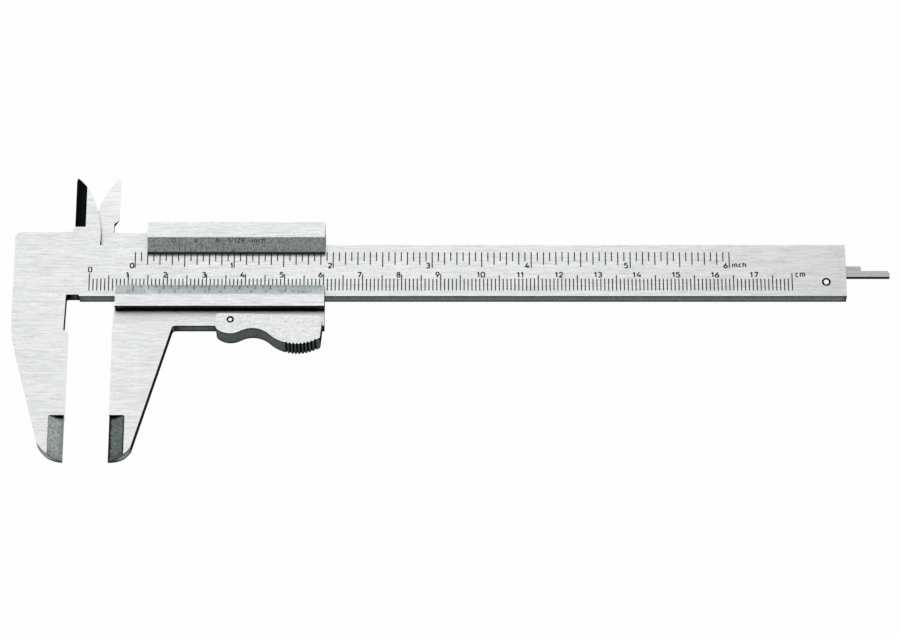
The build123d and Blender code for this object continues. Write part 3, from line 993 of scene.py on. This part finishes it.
@dataclass(frozen=True)
class Legend:
    """A numeral or unit, drawn on the plane Z = 0."""

    text: str
    x: float
    base: float
    height: float = 1.76
    align: Align = Align.CENTRE
    stroke: float = 0.4
    gap: float = 0.2
    stretch: float = 1.22

    def build(self, depth: float, proud: float) -> bpy.types.Object:
        """Lay each character's strokes as flat round ribs, half sunk in the surface.

        Args:
            depth: How far they reach below the surface.
            proud: How far they stand out of it.

        Returns:
            The characters as one mesh.
        """
        Bench.deselect()
        bpy.ops.object.add(type="CURVE")
        made = bpy.context.object
        made.data.dimensions = "3D"
        made.data.bevel_depth = self.stroke / 2 * MM
        made.data.bevel_resolution = 1
        made.data.use_fill_caps = True
        scale = self.height - self.stroke
        foot = self.base + self.stroke / 2
        pen = self._start(scale)
        for letter in self.text:
            for path in map(eased, LETTERS[letter]):
                spline = made.data.splines.new("POLY")
                spline.points.add(len(path) - 1)
                for point, (x, y) in zip(spline.points, path):
                    place = (pen + x * scale * self.stretch, foot + y * scale, 0.0)
                    point.co = (*(c * MM for c in place), 1.0)
            pen += self._width(letter) * scale * self.stretch + self.stroke + self.gap
        bpy.ops.object.convert(target="MESH")
        made = bpy.context.object
        flattening = (depth + proud) / self.stroke
        for vert in made.data.vertices:
            vert.co.z = vert.co.z * flattening + (proud - depth) / 2 * MM
        made.data.update()
        return made

    @staticmethod
    def _width(letter: str) -> float:
        """Width of a letter's strokes in its cell."""
        return max(x for path in LETTERS[letter] for x, _ in path)

    def _start(self, scale: float) -> float:
        """Find where the first letter's strokes start.

        Args:
            scale: Height of the cell in millimetres.

        Returns:
            The place along X.
        """
        widths = [self._width(letter) * scale * self.stretch + self.stroke for letter in self.text]
        total = sum(widths) + self.gap * (len(widths) - 1)
        shift = {Align.LEFT: 0.0, Align.CENTRE: -total / 2}[self.align]
        return self.x + shift + self.stroke / 2


@dataclass(frozen=True)
class Plate:
    """A plane that marks are laid on: its origin and its tilt about X."""

    origin: Place
    tilt: float = 0.0

    def matrix(self) -> Matrix:
        """Give the transform from the plane to the row's frame."""
        return Matrix.Translation(Vector(self.origin) * MM) @ Matrix.Rotation(self.tilt, 4, "X")


@dataclass
class Scales:
    """Everything that is painted on one body: rows of marks and legends on one plane."""

    name: str
    body: Body
    slot: str
    plate: Plate
    rows: list[MarkRow]
    legends: list[Legend]
    paint: bpy.types.Material
    ink: bpy.types.Material
    mark_width: float = 0.29
    mark_depth: float = 0.055
    proud: float = 0.006
    legend_depth: float = 0.01

    def build(self) -> list[bpy.types.Object]:
        """Build the marks and the legends and lay them on their plane.

        Returns:
            The finished pieces.
        """
        marks = [row.build(self.mark_width, self.mark_depth, self.proud) for row in self.rows]
        letters = [legend.build(self.legend_depth, self.proud) for legend in self.legends]
        lines = Bench.join(marks, f"{self.name}_marks")
        words = Bench.join(letters, f"{self.name}_numerals")
        for piece, fill in ((lines, self.paint), (words, self.ink)):
            piece.data.transform(self.plate.matrix())
            piece.data.materials.clear()
            piece.data.materials.append(fill)
            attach(piece, self.body.value)
            LOG.info("%s: %d faces", piece.name, len(piece.data.polygons))
        return [lines, words]


@dataclass
class BeamScales:
    """The millimetre and the inch scale on the beam."""

    datum: Datum
    paint: bpy.types.Material

    mm_zero: float = 5.07
    mm_range: int = 180
    two_digits_from: int = 100
    mm_foot: float = 1.72
    mm_head: float = 4.9
    five_head: float = 5.93
    ten_head: float = 6.05
    end_head: float = 6.4

    inch: float = 25.4
    inches: int = 6
    inch_zero: float = 16.68
    inch_head: float = 12.45
    sixteenth_foot: float = 9.9
    eighth_foot: float = 8.86
    half_foot: float = 8.2
    inch_foot: float = 8.1

    # Numerals: their feet, how far each single one stands left of its mark, and their width
    zero_base: float = 6.6
    mm_base: float = 5.15
    inch_base: float = 7.76
    zero_lead: float = -0.12
    mm_lead: tuple[float, ...] = (0.36, 0.6, 0.66, 0.75, 0.75, 0.78, 0.82, 0.82, 0.82)
    two_digit_lead: float = -0.3
    inch_lead: tuple[float, ...] = (0.8, 0.72, 0.8, 1.05, 1.02, 1.08, 0.95)
    narrow: float = 1.12

    # The units, to the right of their scales
    units: tuple[Legend, ...] = (
        Legend("cm", 185.83, 5.31, 1.78, Align.LEFT, stroke=0.36, gap=0.22, stretch=1.02),
        Legend("inch", 169.74, 8.04, 1.62, Align.LEFT, stroke=0.37, gap=0.15, stretch=1.03),
    )

    def mm_rows(self) -> list[MarkRow]:
        """List the rows of the millimetre scale, whose tens stop under two-digit numerals."""
        zero, foot, head = self.mm_zero, self.mm_foot, self.mm_head
        singles = self.two_digits_from // 10 - 1
        doubles = (self.mm_range - self.two_digits_from) // 10
        rows = [MarkRow(zero + i, 5.0, self.mm_range // 5, foot, head) for i in (1, 2, 3, 4)]
        rows.append(MarkRow(zero + 5, 10.0, self.mm_range // 10, foot, self.five_head))
        rows.append(MarkRow(zero, 10.0, 1, foot, self.end_head))
        rows.append(MarkRow(zero + 10, 10.0, singles, foot, self.ten_head))
        rows.append(MarkRow(zero + self.two_digits_from, 10.0, doubles, foot, head))
        rows.append(MarkRow(zero + self.mm_range, 10.0, 1, foot, self.end_head))
        return rows

    def inch_rows(self) -> list[MarkRow]:
        """List the rows of the inch scale, from sixteenths to whole inches."""
        zero, head, part = self.inch_zero, self.inch_head, self.inch / 16
        feet = (self.sixteenth_foot, self.eighth_foot, self.eighth_foot, self.half_foot)
        rows = []
        for first, foot in zip((1, 2, 4, 8), feet):
            count = self.inches * 8 // first
            rows.append(MarkRow(zero + first * part, 2 * first * part, count, foot, head))
        rows.append(MarkRow(zero, 16 * part, self.inches + 1, self.inch_foot, head))
        return rows

    def legends(self) -> list[Legend]:
        """List the numerals and units of both scales."""
        zero, narrow = self.mm_zero, self.narrow
        made = [Legend("0", zero - self.zero_lead, self.zero_base, stretch=narrow)]
        for i, lead in enumerate(self.mm_lead, 1):
            made.append(Legend(str(i), zero + 10 * i - lead, self.mm_base, stretch=narrow))
        for i in range(self.two_digits_from // 10, self.mm_range // 10):
            made.append(Legend(str(i), zero + 10 * i - self.two_digit_lead, self.mm_base))
        for i, lead in enumerate(self.inch_lead):
            place = self.inch_zero + self.inch * i - lead
            made.append(Legend(str(i), place, self.inch_base, stretch=narrow))
        return made + list(self.units)

    def build(self) -> list[bpy.types.Object]:
        """Build both scales."""
        plate = Plate((0.0, self.datum.beam_bottom, self.datum.face))
        rows, legends, fill = self.mm_rows() + self.inch_rows(), self.legends(), self.paint
        return Scales("beam", Body.BEAM, "beam_steel", plate, rows, legends, fill, fill).build()


@dataclass
class Verniers:
    """The verniers on the slider's two bevels."""

    datum: Datum
    lower_paint: bpy.types.Material
    top_paint: bpy.types.Material
    top_ink: bpy.types.Material

    mm_zero: float = 5.07
    mm_step: float = 39.0 / 20
    inch_zero: float = 16.68
    inch_step: float = 25.4 * 7 / 16 / 8
    lip_gap: float = 0.02

    # Y and Z of each bevel's thin and thick edge
    lower_lip: Spot = (2.86, 2.30)
    lower_foot: Spot = (-0.96, 4.85)
    top_lip: Spot = (11.97, 3.00)
    top_foot: Spot = (15.25, 4.85)

    # Lengths of the odd, even and main marks
    lower_marks: Place = (1.3, 2.2, 3.4)
    top_marks: Place = (1.6, 2.6, 3.2)

    # Numerals: their height, and on each bevel their feet, stroke and lead before their mark
    digit_height: float = 1.3
    lower_base: float = -3.9
    lower_stroke: float = 0.17
    lower_lead: float = 1.0
    top_base: float = 2.25
    top_stroke: float = 0.2
    top_lead: float = 1.4

    # The units, to the right of the numerals
    lower_units: tuple[Legend, ...] = (
        Legend("1/20", 45.6, lower_base, digit_height, Align.LEFT, lower_stroke, 0.12, 1.0),
        Legend("mm", 48.5, lower_base, digit_height, Align.LEFT, lower_stroke, 0.12, 1.0),
    )
    top_units: tuple[Legend, ...] = (
        Legend("1/128", 29.1, top_base, digit_height, Align.LEFT, top_stroke, 0.25, 1.05),
        Legend("inch", 35.3, top_base, digit_height, Align.LEFT, top_stroke, 0.33, 1.0),
    )

    def _plate(self, lip: Spot, foot: Spot) -> Plate:
        """Lay a plane on a bevel.

        Args:
            lip: Y and Z of the bevel's thin edge.
            foot: Y and Z of its thick edge.

        Returns:
            The plane, with its origin on the lip and Y in the bevel, towards the beam's top edge.
        """
        rise = (foot[1] - lip[1]) / (foot[0] - lip[0])
        origin = (self.datum.opening, self.datum.beam_bottom + lip[0], lip[1])
        return Plate(origin, math.atan(rise))

    def mm_scale(self) -> Scales:
        """Lay out the vernier for twentieths of a millimetre."""
        zero, step, end = self.mm_zero, self.mm_step, -self.lip_gap
        odd, even, main = self.lower_marks
        rows = [
            MarkRow(zero + step, 2 * step, 10, -odd, end),
            MarkRow(zero, 10 * step, 3, -main, end),
        ]
        rows += [MarkRow(zero + first * step, 2 * step, 4, -even, end) for first in (2, 12)]
        base, high, stroke = self.lower_base, self.digit_height, self.lower_stroke
        legends = []
        for i in range(11):
            place = zero + 2 * i * step - self.lower_lead
            legends.append(Legend(str(i), place, base, high, stroke=stroke))
        legends += self.lower_units
        plate = self._plate(self.lower_lip, self.lower_foot)
        paints = (self.lower_paint, self.lower_paint)
        return Scales("lower_vernier", Body.SLIDER, "slider_steel", plate, rows, legends, *paints)

    def inch_scale(self) -> Scales:
        """Lay out the vernier for 128ths of an inch."""
        zero, step, start = self.inch_zero, self.inch_step, self.lip_gap
        odd, even, main = self.top_marks
        rows = [
            MarkRow(zero + step, 2 * step, 4, start, odd),
            MarkRow(zero + 2 * step, 4 * step, 2, start, even),
            MarkRow(zero, 4 * step, 3, start, main),
        ]
        base, high, stroke = self.top_base, self.digit_height, self.top_stroke
        legends = []
        for i in (0, 4, 8):
            place = zero + i * step - self.top_lead
            legends.append(Legend(str(i), place, base, high, stroke=stroke))
        legends += self.top_units
        plate = self._plate(self.top_lip, self.top_foot)
        paints = (self.top_paint, self.top_ink)
        return Scales("top_vernier", Body.SLIDER, "slider_steel", plate, rows, legends, *paints)

    def build(self) -> list[bpy.types.Object]:
        """Build both verniers."""
        return self.mm_scale().build() + self.inch_scale().build()


@dataclass
class Finishes:
    """Gives every node of the frame its finish. The opening is the place of the moving face."""

    opening: float
    # Painted glint on the rounded ends of the jaws
    nib: Colour = (0.4, 0.425, 0.42)
    nose_width: float = 3.94
    shade_length: float = 10.0

    # Where the dark rims of painted shade around the pins start and end, as shares of a pin's
    # radius
    end_rim: float = 0.92
    pivot_rim: float = 0.72
    rim_outer: float = 1.5

    beam: Steel = Steel(
        "beam_satin_steel", lapped_at=0.0, turned=nib, left_ground=(0.004, 0.006, 0.006),
        ground_roughness=0.18, under=(0.185, 0.207, 0.203), under_metal=0.3, dull_before=20.0,
        bright_from=46.0, grime_reach=6.0,
    )
    plate: Steel = Steel(
        "end_plate_steel", flat=(0.64, 0.65, 0.64), grain=(1.2, 1.2, 1.2), streaks=1.1
    )
    # The rod's wide white edges are a painted highlight, and its near-black underside painted
    # shade
    rod: Steel = Steel(
        "rod_drawn_steel", flat=(0.68, 0.69, 0.685), flat_roughness=0.38, under=(0.01, 0.01, 0.01),
        edge_radius=0.6, edge_light=(1.0, 1.0, 1.0),
    )
    rivets: Steel = Steel(
        "rivet_steel", flat=(0.8, 0.81, 0.81), flat_roughness=0.25, streaks=0.2
    )
    lever: Steel = Steel(
        "lever_satin_steel", grain=(0.6, 1.6, 1.6), under=(0.155, 0.176, 0.174), under_metal=0.1,
        grime_reach=0.4, burr=0.75,
    )
    plunger: Steel = Steel("plunger_steel", flat_roughness=0.3)
    spring: Steel = Steel("spring_wire_steel", flat=(0.45, 0.46, 0.47), side=(0.4, 0.41, 0.42))
    strip: Bronze = Bronze("strip_bronze")
    screw: Steel = Steel(
        "screw_dark_steel", flat=(0.4, 0.4, 0.4), side=(0.3, 0.3, 0.3), flat_roughness=0.4
    )

    def slider(self) -> Steel:
        """Give the slider's steel."""
        return Steel(
            "slider_satin_steel", lapped_at=self.opening, turned=self.nib,
            left_ground=(0.345, 0.4, 0.395), under=(0.15, 0.172, 0.17), under_metal=0.1,
            grime_reach=5.0, bright_from=46.0, dull_below=42.9, rail_foot=23.3,
            nose_span=(self.opening, self.opening + self.nose_width),
            shaded_until=self.opening + self.shade_length,
        )

    def pin(self, node: str, reach: float) -> Steel:
        """Give a pin's bright steel, with a dark rim of painted shade.

        Args:
            node: The pin's node.
            reach: Where the dark rim starts, as a share of the pin's radius.

        Returns:
            The finish.
        """
        rim = Rim.around(node, reach, self.rim_outer)
        bright = (0.95, 0.95, 0.95)
        return Steel(f"{node}_steel", flat=bright, flat_roughness=0.16, streaks=0.2, rim=rim)

    def apply(self) -> None:
        """Assign the finishes to the nodes' material slots."""
        plan = {
            "beam": self.beam,
            "rod_guide_plate": self.plate,
            "end_pin": self.pin("end_pin", self.end_rim),
            "slider": self.slider(),
            "depth_rod": self.rod,
            "rod_rivets": self.rivets,
            "thumb_lever": self.lever,
            "lever_pivot_pin": self.pin("lever_pivot_pin", self.pivot_rim),
            "clamp_plunger": self.plunger,
            "lever_spring": self.spring,
            "friction_strip": self.strip,
            "adjusting_screws": self.screw,
        }
        for node, finish in plan.items():
            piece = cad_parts[node]
            piece.data.materials.clear()
            piece.data.materials.append(finish.material())
            LOG.info("%s: %s", node, finish.name)


@dataclass(frozen=True)
class Glow:
    """A soft patch of light in the room: its direction, width in degrees and strength."""

    towards: Place
    width: float
    strength: float

    def light(self, shader: Shader, direction: Wire) -> Wire:
        """Give the patch's light in a direction."""
        cosine = shader.dot(direction, tuple(Vector(self.towards).normalized()))
        return shader.smooth(cosine, math.cos(math.radians(self.width)), 1.0) * self.strength


@dataclass
class Studio:
    """Floor, light and camera."""

    datum: Datum

    camera_place: Place = (97.45, -458.32, 969.51)
    camera_tilt: float = 25.0
    lens: float = 167.56
    sensor: float = 36.0
    near_and_far: Spot = (0.01, 100.0)

    softbox_aim: Place = (-50.0, -7.05, 1.75)
    softbox_distance: float = 0.9
    softbox_width: float = 0.8
    softbox_height: float = 0.8
    softbox_power: float = 1.95

    # The room: where its walls fade out at the top and grow darker at the foot, and its light
    wall_top: Spot = (0.46, 0.62)
    wall_foot: Spot = (0.02, 0.2)
    wall_light: float = 0.72
    foot_share: float = 0.4
    ceiling_light: float = 0.03
    glows: tuple[Glow, ...] = (
        Glow((0.1, 1.0, 0.3), 50.0, 0.1),
        Glow((0.65, 0.3, 0.7), 35.0, 0.34),
        Glow((0.05, -0.42, 0.9), 40.0, 0.2),
    )
    tint: Colour = (0.97, 1.0, 0.995)

    floor_size: float = 20.0
    floor_thickness: float = 10.0
    floor_grey: float = 0.9
    floor_white: float = 0.98

    def from_beam(self, place: Place) -> Vector:
        """Bring a place measured from the beam's lower guide edge into the row, in metres."""
        return Vector((place[0], place[1] + self.datum.beam_bottom, place[2])) * MM

    def camera(self) -> None:
        """Place the camera at the photograph's angle."""
        Bench.deselect()
        place = self.from_beam(self.camera_place)
        bpy.ops.object.camera_add(location=place, rotation=(math.radians(self.camera_tilt), 0, 0))
        made = bpy.context.object
        made.name = "camera"
        made.data.lens = self.lens
        made.data.sensor_width = self.sensor
        made.data.clip_start, made.data.clip_end = self.near_and_far
        bpy.context.scene.camera = made

    def softbox(self) -> None:
        """Hang a large soft lamp above and behind, where the flats mirror it."""
        Bench.deselect()
        tilt = math.radians(self.camera_tilt)
        direction = Vector((0.0, math.sin(tilt), math.cos(tilt)))
        place = self.from_beam(self.softbox_aim) + direction * self.softbox_distance
        bpy.ops.object.light_add(type="AREA", location=place, rotation=(-tilt, 0, 0))
        lamp = bpy.context.object
        lamp.name = "softbox"
        lamp.data.shape = "RECTANGLE"
        lamp.data.size = self.softbox_width
        lamp.data.size_y = self.softbox_height
        lamp.data.energy = self.softbox_power

    @staticmethod
    def _seen(shader: Shader) -> Wire:
        """Give one for the rays that show the background: straight, mirrored or through glass."""
        kinds = ("Is Camera Ray", "Is Glossy Ray", "Is Transmission Ray")
        rays = [shader.node("ShaderNodeLightPath", {}, {}, kind) for kind in kinds]
        return rays[0] + rays[1] + rays[2]

    def surroundings(self) -> None:
        """Give the room white walls and a soft grey ceiling that is lighter on the right."""
        world = bpy.data.worlds.new("room")
        bpy.context.scene.world = world
        world.use_nodes = True
        shader = Shader(world.node_tree)
        direction = shader.node("ShaderNodeTexCoord", {}, {}, "Generated")
        height = shader.part(direction, "Z")
        walls = 1.0 - shader.smooth(height, *self.wall_top)
        above_foot = shader.smooth(height, *self.wall_foot)
        lit = walls * (self.foot_share + above_foot * (1.0 - self.foot_share))
        level = self.ceiling_light + lit * self.wall_light
        for glow in self.glows:
            level = level + glow.light(shader, direction)
        level = level + (1.0 - level) * walls * self._seen(shader)
        inputs = {"Color": shader.scaled(self.tint, level), "Strength": 1.0}
        light = shader.node("ShaderNodeBackground", {}, inputs)
        shader.finish("ShaderNodeOutputWorld", light)

    def floor(self) -> None:
        """Lay a plain pale floor that looks white and keeps the object's shadow."""
        half = self.floor_size / 2 / MM
        level = self.datum.rest_level
        ground = Bench.block((-half, -half, level - self.floor_thickness), (half, half, level))
        ground.name = "floor"
        made, shader = new_material("floor_white")
        pale, white = (self.floor_grey,) * 3 + (1.0,), (1.0, 1.0, 1.0, 1.0)
        matt = shader.node("ShaderNodeBsdfDiffuse", {}, {"Color": pale})
        bright = shader.node("ShaderNodeEmission", {}, {"Color": white, "Strength": 1.0})
        share = self._seen(shader) * self.floor_white
        surface = shader.node("ShaderNodeMixShader", {}, {0: share, 1: matt, 2: bright})
        shader.finish("ShaderNodeOutputMaterial", surface)
        ground.data.materials.append(made)

    def build(self) -> None:
        """Set up the whole studio."""
        bpy.context.scene.view_settings.view_transform = "Standard"
        self.camera()
        self.softbox()
        self.surroundings()
        self.floor()


def main() -> None:
    """Dress the frame, add the painted scales and set up the studio."""
    logging.basicConfig(level=logging.INFO, format="%(name)s: %(message)s")
    datum = Datum.from_frame()
    LOG.info("datum %s", datum)
    Finishes(datum.opening).apply()
    BeamScales(datum, Paint("engraving_paint").material()).build()
    worn = Paint("worn_lower_paint", deep=(0.12, 0.13, 0.13), thin=(0.4, 0.42, 0.42))
    faint = Paint("faint_top_paint", deep=(0.24, 0.26, 0.26), thin=(0.48, 0.51, 0.51))
    grey = Paint("grey_top_paint", deep=(0.01, 0.012, 0.012), thin=(0.07, 0.075, 0.075))
    Verniers(datum, worn.material(), faint.material(), grey.material()).build()
    Studio(datum).build()
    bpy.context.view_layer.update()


if __name__ == "__main__":
    main()
